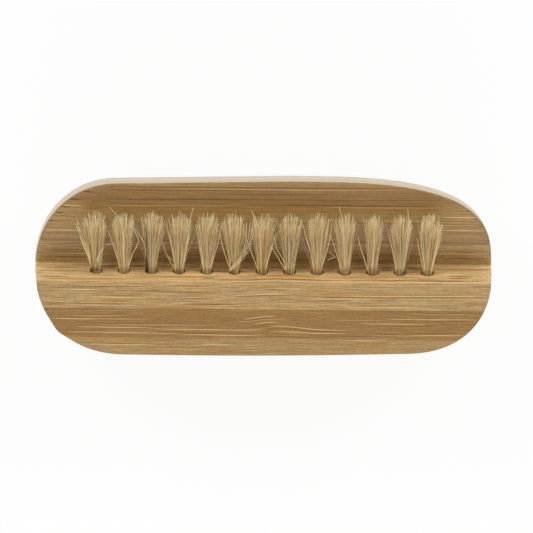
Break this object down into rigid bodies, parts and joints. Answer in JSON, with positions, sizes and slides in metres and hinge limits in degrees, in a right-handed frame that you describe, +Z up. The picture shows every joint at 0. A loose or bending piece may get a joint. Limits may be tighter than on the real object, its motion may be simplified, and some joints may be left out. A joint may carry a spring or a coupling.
{
  "type": "nail brush",
  "caption": "Two-sided nail brush: rounded bamboo block with a bristle field below and a row of tufts leaning out of a V-shaped groove on top.",
  "frame": {"origin": "middle of the block's outline, on the surface that the lower bristle tips stand on", "axes": "+X along the block, +Y across it from the front flat towards the shallow wall of the groove, +Z up out of the groove"},
  "size_m": [0.1, 0.038, 0.0396],
  "materials": {
    "pale_bamboo": "sanded, oiled, pale strip",
    "toasted_bamboo": "sanded, oiled, darker strip",
    "shaded_bamboo": "milled groove wall, light oil",
    "bristle": "natural blond boar bristle",
    "anchor_wire": "flat drawn wire"
  },
  "bodies": {
    "root": {"top_front_strip": "toasted_bamboo", "top_middle_strip": "pale_bamboo", "top_feather_strip": "shaded_bamboo", "top_rear_strip": "toasted_bamboo", "upper_core_front_strip": "toasted_bamboo", "upper_core_middle_strip": "pale_bamboo", "upper_core_rear_strip": "toasted_bamboo", "lower_core_front_strip": "pale_bamboo", "lower_core_middle_strip": "toasted_bamboo", "lower_core_rear_strip": "pale_bamboo", "base_front_strip": "toasted_bamboo", "base_middle_strip": "pale_bamboo", "base_rear_strip": "toasted_bamboo", "groove_tuft_1": "bristle", "groove_tuft_2": "bristle", "groove_tuft_3": "bristle", "groove_tuft_4": "bristle", "groove_tuft_5": "bristle", "groove_tuft_6": "bristle", "groove_tuft_7": "bristle", "groove_tuft_8": "bristle", "groove_tuft_9": "bristle", "groove_tuft_10": "bristle", "groove_tuft_11": "bristle", "groove_tuft_12": "bristle", "groove_tuft_13": "bristle", "base_tuft_row_1": "bristle", "base_tuft_row_2": "bristle", "base_tuft_row_3": "bristle", "base_tuft_row_4": "bristle", "base_tuft_row_5": "bristle", "groove_anchors": "anchor_wire", "base_anchor_row_1": "anchor_wire", "base_anchor_row_2": "anchor_wire", "base_anchor_row_3": "anchor_wire", "base_anchor_row_4": "anchor_wire", "base_anchor_row_5": "anchor_wire"}
  },
  "joints": []
}
